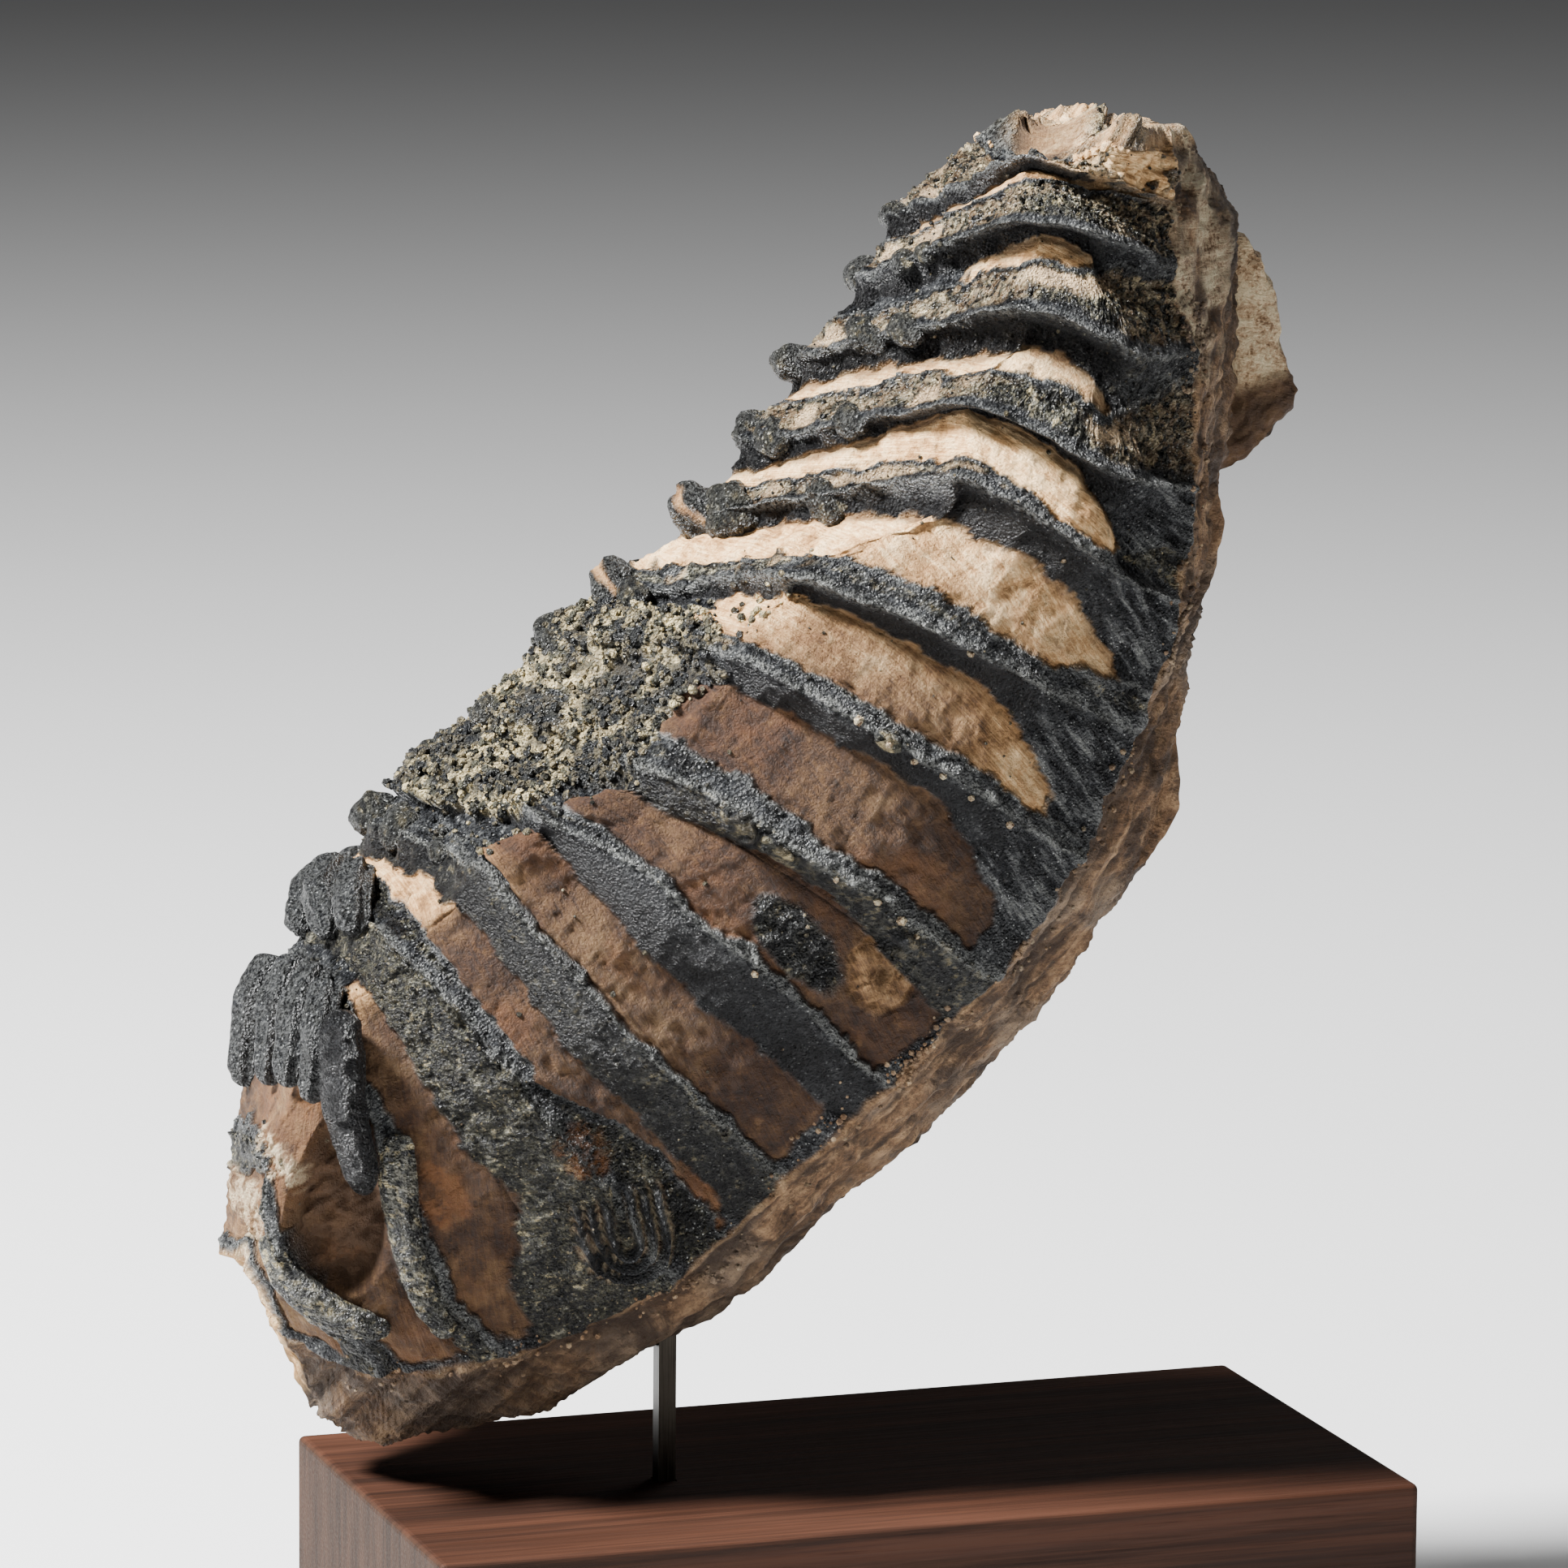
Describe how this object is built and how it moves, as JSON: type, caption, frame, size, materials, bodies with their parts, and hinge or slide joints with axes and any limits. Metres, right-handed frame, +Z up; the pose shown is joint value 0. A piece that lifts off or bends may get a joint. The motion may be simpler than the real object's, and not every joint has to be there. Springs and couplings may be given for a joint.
{
  "type": "fossil mammoth tooth",
  "caption": "Fossil mammoth molar with raised dark enamel plates and tan cement, standing oblique on a square steel bar in a dark wood block.",
  "frame": {"origin": "centre of the wood block's underside", "axes": "+Z up; X along the block's length, with the tooth's upper end toward +X; -Y is the side the tooth is seen from"},
  "size_m": [0.1988, 0.1151, 0.2775],
  "materials": {
    "fossil_tooth": "dark blue-grey mineral-crusted enamel bands over matt tan cement",
    "bar_steel": "brushed along its length",
    "block_wood": "dark red-brown hardwood, oiled, satin"
  },
  "bodies": {
    "root": {"tooth": "fossil_tooth", "steel_bar": "bar_steel", "wood_block": "block_wood"}
  },
  "joints": []
}
